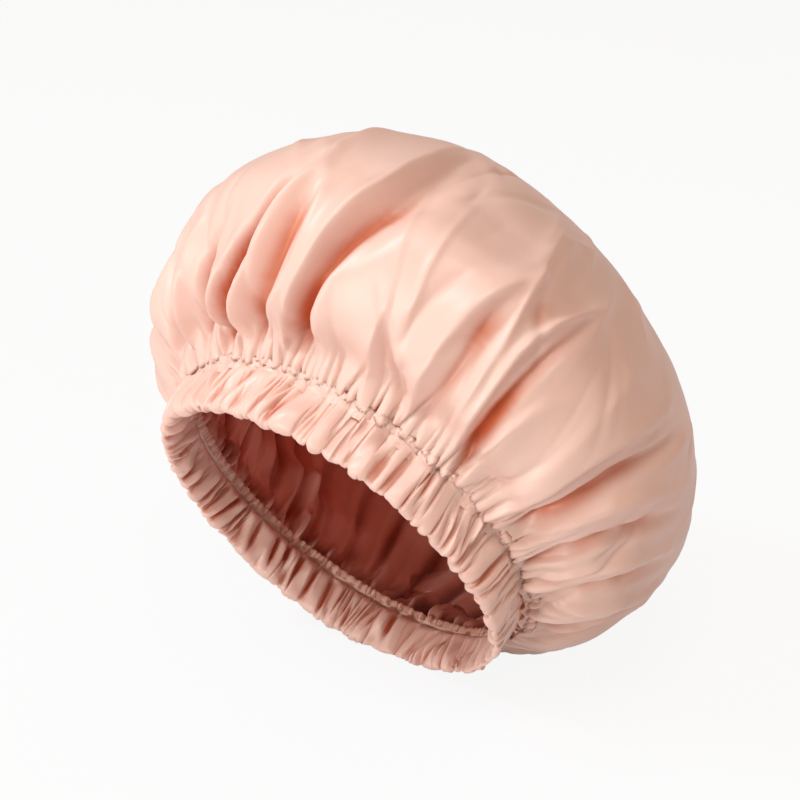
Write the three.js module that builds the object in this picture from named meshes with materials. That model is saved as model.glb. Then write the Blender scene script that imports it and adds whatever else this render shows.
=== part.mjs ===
import * as THREE from "three";

// A gathered shower cap lying on its side, in millimetres with +Z up.
// The mouth faces -Y and tips down, and the crown's low flank and the rim rest on Z = 0.
// On the cap itself, "up" is the way from the rim's fold to the apex, and radii are from its axis.

// Crown sizes
const crownRadius = 115;
const crownDepthRadius = 120;
const crownRise = 5;
const crownHeight = 156;
const widestUp = 71;
const flankPressed = 4;
const rimPressed = 2.5;

// Casing and elastic sizes
const mouthRadius = 76;
const casingWidth = 22;
const stitchInset = 4;
const edgeTuck = 5.5;
const elasticWidth = 12;
const elasticThickness = 1;
const joinLap = 15;
const joinTurns = 6;

// Cloth sizes
const clothWall = 0.6;
const liningWall = 0.5;
const layerGap = 0.5;
const threadRadius = 0.35;
const overlockRadius = 0.5;

// Gathers
const pleatCount = 52;
const pleatHeight = 1.8;
const scallopHeight = 1.2;
const pleatUnevenShare = 0.25;
const edgeSwellShare = 0.5;

// Folds of the crown in their order round it, each a valley and the ridge after it: where they leave the
// casing in degrees, how far they lean before they end, and their shares of the full depth and height
const foldHeight = 5;
const foldDepth = 6.5;
const foldStartRows = 3;
const fullLeanShare = 0.72;
const folds = [
  { valley: 329, ridge: 335, leans: [-2, -5], depthShare: 0.6, heightShare: 0.7, reachShare: 0.55 },
  { valley: 342, ridge: 350, leans: [-7, -12], depthShare: 0.6, heightShare: 0.8, reachShare: 0.6 },
  { valley: 359, ridge: 366, leans: [-11, -13], depthShare: 0.6, heightShare: 0.8, reachShare: 0.62 },
  { valley: 373, ridge: 380, leans: [-9, -8], depthShare: 0.85, heightShare: 0.6, reachShare: 0.68 },
  { valley: 387, ridge: 392, leans: [-5, -3], depthShare: 0.1, heightShare: 0.7, reachShare: 0.58 },
  { valley: 398, ridge: 405, leans: [-6, -1], depthShare: 0.9, heightShare: 0.8, reachShare: 0.72 },
  { valley: 409, ridge: 414, leans: [-2, 0], depthShare: 0.4, heightShare: 0.5, reachShare: 0.66 },
  { valley: 421, ridge: 426, leans: [-4, -5], depthShare: 0.3, heightShare: 0.3, reachShare: 0.45 },
  { valley: 433, ridge: 441, leans: [-8, -11], depthShare: 0.1, heightShare: 0.4, reachShare: 0.5 },
  { valley: 446, ridge: 451, leans: [-11.5, -11], depthShare: 0.6, heightShare: 0.6, reachShare: 0.8 },
  { valley: 458, ridge: 464, leans: [-10, -11], depthShare: 0.5, heightShare: 0.8, reachShare: 0.82 },
  { valley: 471, ridge: 480, leans: [-11.5, -9], depthShare: 1, heightShare: 0.7, reachShare: 0.66 },
  { valley: 487, ridge: 493, leans: [-6, -4], depthShare: 0.7, heightShare: 0.6, reachShare: 0.6 },
  { valley: 500, ridge: 507, leans: [-3, -3], depthShare: 0.7, heightShare: 0.6, reachShare: 0.6 },
  { valley: 514, ridge: 521, leans: [-1, 0], depthShare: 0.5, heightShare: 0.5, reachShare: 0.5 },
  { valley: 528, ridge: 535, leans: [0, 1], depthShare: 0.5, heightShare: 0.7, reachShare: 0.62 },
  { valley: 542, ridge: 550, leans: [1, 2], depthShare: 0.6, heightShare: 0.5, reachShare: 0.5 },
  { valley: 557, ridge: 564, leans: [1, 1], depthShare: 0.4, heightShare: 0.6, reachShare: 0.55 },
  { valley: 572, ridge: 579, leans: [0, 0], depthShare: 0.5, heightShare: 0.5, reachShare: 0.48 },
  { valley: 586, ridge: 594, leans: [0, 0], depthShare: 0.6, heightShare: 0.6, reachShare: 0.55 },
  { valley: 601, ridge: 608, leans: [0, -1], depthShare: 0.5, heightShare: 0.5, reachShare: 0.5 },
  { valley: 616, ridge: 623, leans: [-1, -1], depthShare: 0.5, heightShare: 0.6, reachShare: 0.58 },
  { valley: 630, ridge: 638, leans: [-1, 0], depthShare: 0.6, heightShare: 0.5, reachShare: 0.5 },
  { valley: 645, ridge: 652, leans: [0, 0], depthShare: 0.4, heightShare: 0.6, reachShare: 0.6 },
  { valley: 660, ridge: 667, leans: [0, -1], depthShare: 0.5, heightShare: 0.5, reachShare: 0.52 },
  { valley: 674, ridge: 681, leans: [-1, -2], depthShare: 0.5, heightShare: 0.6, reachShare: 0.55 },
];

// Broad places where the crown stands higher or lower than its even form: their middle round it in degrees
// and on the way to the apex, and how far they spread from there
const broadForms = [
  { height: -4, middle: 141, spread: 24, middleShare: 0.5, spreadShare: 0.16 },
  { height: -3.5, middle: 28, spread: 30, middleShare: 0.68, spreadShare: 0.2 },
  { height: 3.5, middle: 95, spread: 60, middleShare: 0.66, spreadShare: 0.28 },
  { height: 2, middle: 170, spread: 25, middleShare: 0.6, spreadShare: 0.25 },
  { height: 2.5, middle: 250, spread: 75, middleShare: 0.24, spreadShare: 0.12 },
  { height: -3.5, middle: 85, spread: 50, middleShare: 0.15, spreadShare: 0.08 },
];

// The lining hangs below the crown on its low side, most at the middle of the way to the apex
const liningSag = 6;
const liningFoldHeight = 3;
const sagFullShare = 0.3;
const sagEndShare = 0.9;

// Curves of the crown's section: a rounder corner has a higher power
const lowerPower = 1.9;
const upperPower = 1.8;
const lowerTurnShares = [0.84, 0.66, 0.48, 0.3, 0.14];
const upperTurnShares = [0, 0.2, 0.4, 0.6, 0.8];

// Worked out from the sizes above
const tunnelHalf = elasticThickness / 2 + 2 * layerGap + threadRadius * 2;
const rimDepth = 2 * clothWall + threadRadius + scallopHeight;
const crownEdgeOut = tunnelHalf - layerGap;
const liningEdgeOut = crownEdgeOut - clothWall - layerGap;
const innerLipEdgeOut = liningEdgeOut - liningWall - layerGap;
const lowLipUp = rimDepth - clothWall;
const elasticUp = rimDepth + layerGap;
const swellUp = elasticUp + elasticWidth + layerGap;
const slotUp = casingWidth - edgeTuck;
const slotExitUp = casingWidth + 2 * (clothWall + layerGap);
const seamRadius = mouthRadius + crownEdgeOut;
const stitchUp = casingWidth - stitchInset;
const foldCount = folds.length;

const section = crownSection();
const lying = lyingPose();

export default buildCap();

function buildCap() {
  const pieces = [
    piece("crown_shell", crownSolid(0, clothWall, crownOffset), "#f2c8b8", 0.5),
    piece("waterproof_lining", crownSolid(clothWall + layerGap, liningWall, liningOffset), "#c9836a", 0.45),
    piece("elastic_casing", casingSolid(), "#f0c2b0", 0.5),
    piece("elastic_band", elasticSolid(), "#f4f0ea", 0.85),
    piece("elastic_join_tack", joinTackSolid(), "#faf7f2", 0.8),
    piece("casing_seam_needle_thread", needleThreadSolid(), "#f3d6c9", 0.7),
    piece("casing_seam_bobbin_thread", bobbinThreadSolid(), "#fbeee7", 0.7),
    piece("hem_edge_overlock", overlockSolid(), "#f7dfd4", 0.75),
  ];
  const cap = new THREE.Group();
  cap.add(...pieces);
  const box = new THREE.Box3().setFromObject(cap);
  const middle = box.getCenter(new THREE.Vector3());
  cap.position.set(-middle.x, -middle.y, -box.min.z);
  return cap;
}

function piece(name, geometry, color, roughness) {
  const material = new THREE.MeshStandardMaterial({ color, roughness, metalness: 0 });
  const mesh = new THREE.Mesh(geometry, material);
  mesh.name = name;
  return mesh;
}

// The crown's outer line from the tucked edge to the apex, each point with its outward direction
function crownSection() {
  const quarter = Math.PI / 2;
  const line = [
    { radius: seamRadius, up: slotUp },
    { radius: seamRadius, up: slotExitUp },
  ];
  for (const share of lowerTurnShares) {
    line.push({
      radius: seamRadius + (crownRadius - seamRadius) * Math.cos(share * quarter) ** (2 / lowerPower),
      up: widestUp - (widestUp - slotExitUp) * Math.sin(share * quarter) ** (2 / lowerPower),
    });
  }
  for (const share of upperTurnShares) {
    line.push({
      radius: crownRadius * Math.cos(share * quarter) ** (2 / upperPower),
      up: widestUp + (crownHeight - widestUp) * Math.sin(share * quarter) ** (2 / upperPower),
    });
  }
  line.push({ radius: 0, up: crownHeight });
  return line.map((point, row) => ({ ...point, ...outward(line, row), along: row / (line.length - 1) }));
}

function outward(line, row) {
  if (row === 0) return { outRadius: 1, outUp: 0 };
  if (row === line.length - 1) return { outRadius: 0, outUp: 1 };
  const before = line[row - 1];
  const after = line[row + 1];
  const length = Math.hypot(after.up - before.up, after.radius - before.radius);
  return {
    outRadius: (after.up - before.up) / length,
    outUp: -(after.radius - before.radius) / length,
  };
}

// The tilt and lift that put the rim and the crown's pressed flank on the floor together
function lyingPose() {
  const flank = section[2 + Math.floor(lowerTurnShares.length / 2)];
  const rimRadius = mouthRadius + tunnelHalf + clothWall;
  const outerBy = flankRadius(flank) - rimRadius;
  const turn = Math.acos((flankPressed - rimPressed) / Math.hypot(outerBy, flank.up));
  const tilt = turn - Math.atan2(flank.up, outerBy);
  return { tilt, lift: rimRadius * Math.cos(tilt) - rimPressed };
}

function flankRadius(point) {
  return point.radius * deepening(point.up) - crownRise * settled(point.up);
}

// 0 at the casing and 1 from the widest place on, with soft ends
function settled(up) {
  const share = THREE.MathUtils.clamp((up - casingWidth) / (widestUp - casingWidth), 0, 1);
  return share * share * (3 - 2 * share);
}

function deepening(up) {
  return 1 + (crownDepthRadius / crownRadius - 1) * settled(up);
}

// A point of the cap, laid down; depth is how many mm of cloth lie between it and the outside
function laid(angle, radius, up, depth) {
  const side = radius * Math.cos(angle);
  const over = radius * deepening(up) * Math.sin(angle) + crownRise * settled(up);
  const y = up * Math.cos(lying.tilt) - over * Math.sin(lying.tilt);
  const z = up * Math.sin(lying.tilt) + over * Math.cos(lying.tilt) + lying.lift;
  return [side, y, Math.max(z, depth)];
}

// Two columns to a fold, its valley and its ridge, which lean aside on their way to the apex
function columnAngle(column, row) {
  const fold = folds[Math.floor(column / 2)];
  const leanShare = THREE.MathUtils.smoothstep(row.along, 0, fullLeanShare);
  const start = column % 2 === 0 ? fold.valley : fold.ridge;
  return THREE.MathUtils.degToRad(start + fold.leans[column % 2] * leanShare);
}

function startShare(row) {
  return THREE.MathUtils.smoothstep(row.along, 1 / section.length, foldStartRows / section.length);
}

// How far the crown's cloth stands off its even form at a column of a row
function crownOffset(column, row) {
  const fold = folds[Math.floor(column / 2)];
  const end = 1 - THREE.MathUtils.smoothstep(row.along, fold.reachShare / 2, fold.reachShare);
  const full = column % 2 === 0 ? -foldDepth * fold.depthShare : foldHeight * fold.heightShare;
  return (full * end + broadHeight(columnAngle(column, row), row)) * startShare(row);
}

function broadHeight(angle, row) {
  const halfTurn = 180;
  let height = 0;
  for (const form of broadForms) {
    const turn = THREE.MathUtils.radToDeg(angle) - form.middle + halfTurn;
    const aside = (THREE.MathUtils.euclideanModulo(turn, 2 * halfTurn) - halfTurn) / form.spread;
    const onward = (row.along - form.middleShare) / form.spreadShare;
    height += form.height * Math.exp(-(aside ** 2) - onward ** 2);
  }
  return height;
}

// The lining never stands out past the crown, and has folds of its own where it hangs free of it
function liningOffset(column, row) {
  const sagStart = THREE.MathUtils.smoothstep(row.along, 1 / section.length, sagFullShare);
  const sagEnd = 1 - THREE.MathUtils.smoothstep(row.along, sagFullShare, sagEndShare);
  const own = Math.floor(column / 2) % 2 === 0 ? -liningFoldHeight : liningFoldHeight;
  return Math.min(crownOffset(column, row), (own - liningSag) * sagStart * sagEnd);
}

// A dome of cloth between two insets from the crown's outer surface, open at the casing
function crownSolid(inset, wall, offsetAt) {
  const columns = 2 * foldCount;
  const vertices = [];
  const ring = (row, depth) => {
    for (let column = 0; column < columns; column += 1) {
      const angle = columnAngle(column, row);
      const shift = offsetAt(column, row) - depth;
      vertices.push(laid(angle, row.radius + row.outRadius * shift, row.up + row.outUp * shift, depth));
    }
  };
  const rings = section.slice(0, -1);
  const apex = section[section.length - 1];
  for (const row of rings) ring(row, inset);
  for (const row of [...rings].reverse()) ring(row, inset + wall);
  const outerApex = vertices.push(laid(0, 0, apex.up - inset, inset)) - 1;
  const innerApex = vertices.push(laid(0, 0, apex.up - inset - wall, inset)) - 1;

  const faces = [];
  const half = rings.length;
  for (let row = 0; row < 2 * half; row += 1) {
    if (row === half - 1) continue;
    addBand(faces, row * columns, ((row + 1) % (2 * half)) * columns, columns, row >= half);
  }
  for (let column = 0; column < columns; column += 1) {
    const next = (column + 1) % columns;
    faces.push((half - 1) * columns + next, (half - 1) * columns + column, outerApex);
    faces.push(half * columns + column, half * columns + next, innerApex);
  }
  return solid(vertices, faces);
}

// Quads between two rings of vertices, split on the inner skin as on the outer skin over it
function addBand(faces, first, second, columns, inner) {
  for (let column = 0; column < columns; column += 1) {
    const next = (column + 1) % columns;
    const [a, b, c, d] = [first + column, first + next, second + next, second + column];
    if (inner) faces.push(a, d, b, b, d, c);
    else faces.push(a, c, b, a, d, c);
  }
}

// A closed ring around the axis from the section that each column has
function ringSolid(columns, sectionAt) {
  const vertices = [];
  const faces = [];
  for (let column = 0; column < columns; column += 1) {
    const angle = (column / columns) * 2 * Math.PI;
    for (const point of sectionAt(column)) {
      vertices.push(laid(angle, mouthRadius + point.out, point.up, point.depth ?? 0));
    }
  }
  const size = vertices.length / columns;
  for (let column = 0; column < columns; column += 1) {
    const here = column * size;
    const there = ((column + 1) % columns) * size;
    for (let corner = 0; corner < size; corner += 1) {
      const next = (corner + 1) % size;
      faces.push(here + corner, there + corner, there + next);
      faces.push(here + corner, there + next, here + next);
    }
  }
  return solid(vertices, faces);
}

function solid(vertices, faces) {
  const geometry = new THREE.BufferGeometry();
  geometry.setAttribute("position", new THREE.Float32BufferAttribute(vertices.flat(), 3));
  geometry.setIndex(faces);
  geometry.computeVertexNormals();
  return geometry;
}

// How far a pleat stands out at a column: even columns are ridges, odd ones are stitched-down valleys
function pleatAt(column) {
  if (column % 2 === 1) return 0;
  const wander = Math.sin(column * 1.7) * Math.cos(column * 0.61);
  return pleatHeight * (1 - pleatUnevenShare + pleatUnevenShare * wander);
}

// A pleat swells from the lip's upper edge down to the elastic's top
function swell(column, up) {
  return pleatAt(column) * (edgeSwellShare + (1 - edgeSwellShare) * swellShare(up));
}

function swellShare(up) {
  return (casingWidth - up) / (casingWidth - swellUp);
}

// The tunnel: one strip of cloth folded at the rim, open upward for the crown's edge
function casingSolid() {
  const fullOut = tunnelHalf + clothWall;
  return ringSolid(2 * pleatCount, (column) => {
    const pleat = pleatAt(column);
    const upper = swell(column, casingWidth);
    return [
      { out: fullOut + upper, up: casingWidth },
      { out: fullOut + pleat, up: swellUp },
      { out: fullOut + pleat * edgeSwellShare, up: lowLipUp },
      { out: 0, up: scallopHeight * (1 - pleat / pleatHeight) },
      { out: -fullOut - pleat * edgeSwellShare, up: lowLipUp },
      { out: -fullOut - pleat, up: swellUp },
      { out: innerLipEdgeOut - clothWall - upper, up: casingWidth },
      { out: innerLipEdgeOut, up: casingWidth },
      { out: -tunnelHalf, up: swellUp },
      { out: -tunnelHalf, up: rimDepth, depth: clothWall },
      { out: tunnelHalf, up: rimDepth, depth: clothWall },
      { out: tunnelHalf, up: casingWidth, depth: clothWall },
    ];
  });
}

function elasticSolid() {
  const high = elasticUp + elasticWidth;
  const half = elasticThickness / 2;
  return ringSolid(pleatCount, () => [
    { out: half, up: high },
    { out: half, up: elasticUp, depth: clothWall + layerGap },
    { out: -half, up: elasticUp, depth: clothWall + layerGap },
    { out: -half, up: high },
  ]);
}

// The zigzag row of stitches across the elastic's lapped ends, on its inner face
function joinTackSolid() {
  const turns = joinTurns;
  const low = elasticUp + threadRadius;
  const high = low + elasticWidth - 2 * threadRadius;
  const width = 2 * threadRadius;
  const face = -elasticThickness / 2 - layerGap;
  const outline = [];
  for (let turn = 0; turn <= turns; turn += 1) {
    const along = (turn / turns - 0.5) * joinLap;
    outline.push({ along, low: turn % 2 === 0 ? low : high - width });
  }
  const vertices = [];
  for (const { along, low: at } of outline) {
    const angle = Math.PI / 2 + along / mouthRadius;
    const far = face - width;
    for (const [out, up] of [[face, at + width], [face, at], [far, at], [far, at + width]]) {
      vertices.push(laid(angle, mouthRadius + out, up, 0));
    }
  }
  const faces = [0, 1, 2, 0, 2, 3];
  for (let step = 0; step < turns; step += 1) {
    for (let corner = 0; corner < 4; corner += 1) {
      const next = (corner + 1) % 4;
      const here = step * 4;
      faces.push(here + corner, here + 4 + corner, here + 4 + next);
      faces.push(here + corner, here + 4 + next, here + next);
    }
  }
  const last = turns * 4;
  faces.push(last, last + 2, last + 1, last, last + 3, last + 2);
  return solid(vertices, faces);
}

// A thread lying round the casing, with its middle at the given place of each column
function threadRing(radius, placeAt) {
  return ringSolid(2 * pleatCount, (column) => {
    const place = placeAt(column);
    return [
      { out: place.out, up: place.up + radius },
      { out: place.out + radius, up: place.up },
      { out: place.out, up: place.up - radius },
      { out: place.out - radius, up: place.up },
    ];
  });
}

function needleThreadSolid() {
  const clear = clothWall + tunnelHalf + layerGap + threadRadius;
  return threadRing(threadRadius, (column) => ({ out: clear + swell(column, stitchUp), up: stitchUp }));
}

function bobbinThreadSolid() {
  return threadRing(threadRadius, (column) => {
    const edge = innerLipEdgeOut - swell(column, casingWidth);
    const full = -tunnelHalf - pleatAt(column);
    const face = edge + (full - edge) * swellShare(stitchUp) - clothWall;
    return { out: face - layerGap - threadRadius, up: stitchUp };
  });
}

function overlockSolid() {
  const up = casingWidth + layerGap + overlockRadius;
  return threadRing(overlockRadius, (column) => ({
    out: innerLipEdgeOut - clothWall / 2 - swell(column, casingWidth) / 2 - overlockRadius / 2,
    up,
  }));
}
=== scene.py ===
"""A gathered satin shower cap that lies on its side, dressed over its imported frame."""

import math

import bpy
import numpy as np
from mathutils import Matrix, Vector


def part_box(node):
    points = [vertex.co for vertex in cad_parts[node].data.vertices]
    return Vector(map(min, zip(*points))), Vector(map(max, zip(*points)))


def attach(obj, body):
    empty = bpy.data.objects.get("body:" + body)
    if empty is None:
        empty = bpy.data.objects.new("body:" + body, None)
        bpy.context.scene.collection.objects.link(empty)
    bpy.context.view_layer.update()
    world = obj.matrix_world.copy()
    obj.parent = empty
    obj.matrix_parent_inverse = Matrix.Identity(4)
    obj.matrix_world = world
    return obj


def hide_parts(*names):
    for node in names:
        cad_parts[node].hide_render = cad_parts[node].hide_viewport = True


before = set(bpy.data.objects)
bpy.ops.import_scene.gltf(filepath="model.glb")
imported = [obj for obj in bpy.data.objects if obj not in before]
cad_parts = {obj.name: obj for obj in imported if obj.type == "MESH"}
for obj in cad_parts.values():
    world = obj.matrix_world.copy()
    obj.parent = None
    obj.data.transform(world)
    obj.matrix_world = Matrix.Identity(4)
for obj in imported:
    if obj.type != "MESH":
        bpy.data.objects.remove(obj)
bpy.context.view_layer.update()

# Sizes of the cap in millimetres, as its frame has them
MM = 0.001
CROWN_RADIUS = 115.0
CROWN_DEPTH_RADIUS = 120.0
CROWN_RISE = 5.0
CROWN_HEIGHT = 156.0
WIDEST_UP = 71.0
LOWER_POWER = 1.9
UPPER_POWER = 1.8
LEAN_ASIDE = -1.0
LEAN_OVER = 2.0
SEAM_RADIUS = 77.7
CROWN_EDGE_UP = 17.0
SLOT_EXIT_UP = 24.2
CASING_WIDTH = 22.0
STITCH_UP = 20.2
BOBBIN_UP = 18.0
OUTER_LIP_UP = 21.2
TUNNEL_HALF = 1.7
BAND_OUTER_RADIUS = 76.5
BAND_MIDDLE_RADIUS = 76.0
BAND_HALF_HEIGHT = 6.0
BAND_UP = 9.25

# How finely the cloth is worked out: (columns, rows, steps) on each level
CROWN_LEVELS = ((240, 56, 80), (440, 110, 50), (880, 110, 50))
LINING_LEVELS = ((240, 60, 120), (720, 120, 40))
CASING_LEVELS = ((480, 34, 60), (1440, 60, 60))
FINE_COLUMNS = 440

# Pleats and gathers: how many, and how high they stand in millimetres
PLEAT_COUNT = 60
PLEAT_SEED = 11
PLEAT_HEIGHTS = (0.9, 2.0)
RIM_PLEAT_COUNT = 54
GATHER_COUNT = 26
GATHER_HEIGHTS = (1.8, 4.0)
PUFF_HEIGHTS = (1.8, 4.2)
CASING_PUFFS = (1.8, 4.4)
LEAST_PUFF = 0.9

# Small creases: heights, widths, lengths and arcs in millimetres, and leans in radians
CREASE_HEIGHTS = (0.4, 1.3)
CREASE_WIDTHS = (2.3, 5.2)
CREASE_LENGTHS = (12, 34)
CREASE_ARCS = (35, 205)
CREASE_LEAN = 0.7
CASING_CREASES = 140
PINCH_START = 5.0
PINCH_WIDTH = 0.9
PINCH_SPREAD = 0.06
PINCH_LEAN = 0.22

# Stitches and clearances in millimetres
NEEDLE_IN = OUTER_LIP_UP - STITCH_UP
BOBBIN_IN = CASING_WIDTH - BOBBIN_UP
SEAM_WANDER = 1.6
SEAM_SWAY = 0.35
STITCH_LENGTH = 2.5
STITCH_POINTS = 5
STITCH_LIFT = np.array([-0.2, -0.05, 0.0, -0.05, -0.2])
STITCH_RADIUS = 0.1
OVERLOCK_STEP = 1.1
OVERLOCK_DEEP = 3.2
OVERLOCK_RADIUS = 0.13
OVER_SURFACE = 0.3
LINING_UNDER = 0.9
LINING_LOWEST = -24.0
APEX_HOLE = 3.5
WALL_IN = 0.85

# How long the casing's strip is beside the seam's round, as cut and as its weave is drawn
STRIP_DRAWN = 2.2

# Values round the cap, as stops of (degrees, value): 0 is +X and 90 the top of the mouth
GATHERS_SHOWN = (
    (0, 0.3), (20, 0.2), (50, 0.0), (105, 0.0), (118, 0.25), (150, 1.0), (300, 1.0), (340, 0.45)
)
LIP_EASED = ((0, 0.2), (30, 0.7), (60, 1.0), (115, 1.0), (140, 0.6), (170, 0.0), (330, 0.0))
PINCH_REACH = (
    (0, 1.0), (30, 0.85), (60, 0.75), (85, 0.85), (110, 1.3), (160, 1.5), (300, 1.3), (340, 1.0)
)
LINING_FOLDED = ((0, 0.4), (50, 0.8), (100, 1.0), (275, 1.0), (315, 0.4))
LINING_HANG = ((0, 0.1), (60, 0.3), (120, 0.3), (170, 1.0), (225, 0.8), (262, 0.1), (315, 0.1))
RIM_PRESSED = (
    (145, 0.2), (165, 1.8), (200, 1.6), (218, 0.4), (236, -0.7), (256, -0.5),
    (280, 0.9), (300, 2.4), (330, 2.4), (350, 1.4), (360, 0.2)
)


# The cap's own directions: side, over (up across the mouth) and up (out of the mouth to the apex)
def cap_axes():
    low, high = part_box("elastic_band")
    half_y = (high.y - low.y) / 2 / MM
    half_z = (high.z - low.z) / 2 / MM
    wide, thin = BAND_OUTER_RADIUS, BAND_HALF_HEIGHT
    tilt = math.atan2(wide * half_y - thin * half_z, wide * half_z - thin * half_y)
    side = np.array([1.0, 0.0, 0.0])
    up = np.array([0.0, math.cos(tilt), math.sin(tilt)])
    over = np.array([0.0, -math.sin(tilt), math.cos(tilt)])
    middle = np.array((low + high) / 2) / MM
    return side, over, up, middle - BAND_UP * up


SIDE, OVER, UP, MOUTH = cap_axes()


def smooth(share):
    share = np.clip(share, 0.0, 1.0)
    return share * share * (3 - 2 * share)


def ramp_up(value, start, length):
    return smooth((value - start) / length)


def ramp_down(value, end, length):
    return smooth((end - value) / length)


def bell(value, middle, width):
    return np.exp(-(((value - middle) / width) ** 2))


def dot(first, second):
    return np.einsum("...i,...i->...", first, second)


def softened(values, times, axis=0):
    for _ in range(times):
        values = (np.roll(values, 1, axis) + 2 * values + np.roll(values, -1, axis)) / 4
    return values


def superellipse(start, end, count, power):
    turn = np.linspace(start, end, count)
    return np.cos(turn) ** (2 / power), np.sin(turn) ** (2 / power)


def crown_profile():
    """Arc, radius and height along the crown's plain section, from its tucked edge to the apex."""
    out, down = superellipse(math.pi / 2, 0, 80, LOWER_POWER)
    low_radius = SEAM_RADIUS + (CROWN_RADIUS - SEAM_RADIUS) * out
    low_up = WIDEST_UP - (WIDEST_UP - SLOT_EXIT_UP) * down
    out, rise = superellipse(0, math.pi / 2, 120, UPPER_POWER)
    radius = np.concatenate([[SEAM_RADIUS], low_radius, CROWN_RADIUS * out[1:]])
    up = np.concatenate([[CROWN_EDGE_UP], low_up, WIDEST_UP + (CROWN_HEIGHT - WIDEST_UP) * rise[1:]])
    arc = np.concatenate([[0], np.cumsum(np.hypot(np.diff(radius), np.diff(up)))])
    return arc, radius, up


ARC, RADIUS, HEIGHT = crown_profile()
FULL_ARC = float(ARC[-1])


def turned(columns):
    return np.arange(columns) * math.tau / columns


def from_mouth(side, over, up):
    """Points at these distances from the mouth's middle, along the cap's own directions."""
    return MOUTH + side[..., None] * SIDE + over[..., None] * OVER + up[..., None] * UP


def place(radius, up, angles):
    """Points of the plain crown at each row's radius and height and each column's angle."""
    settled = ramp_up(up, CASING_WIDTH, WIDEST_UP - CASING_WIDTH)
    deep = radius * (1 + (CROWN_DEPTH_RADIUS / CROWN_RADIUS - 1) * settled)
    side = radius[:, None] * np.cos(angles) + (LEAN_ASIDE * settled)[:, None]
    over = deep[:, None] * np.sin(angles) + ((CROWN_RISE + LEAN_OVER) * settled)[:, None]
    return from_mouth(side, over, up[:, None])


def dome_base(rows, columns):
    """Arcs, radii and points of the plain crown, its rows closer together near the stitching."""
    share = np.linspace(0, 1, rows)
    arcs = (FULL_ARC - APEX_HOLE) * (0.55 * share + 0.45 * share**2)
    radii, ups = np.interp(arcs, ARC, RADIUS), np.interp(arcs, ARC, HEIGHT)
    base = place(radii, ups, turned(columns))
    base[..., 2] = np.maximum(base[..., 2], OVER_SURFACE)
    return arcs, radii, base


def unit(vectors):
    return vectors / np.maximum(np.linalg.norm(vectors, axis=-1, keepdims=True), 1e-9)


def directions(base):
    """Unit vectors across the columns, along the rows and out of a grid of points."""
    across = unit(np.roll(base, -1, 1) - np.roll(base, 1, 1))
    along = unit(np.gradient(base, axis=0))
    out = unit(np.cross(along, across))
    return across, unit(np.cross(across, out)), out


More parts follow.
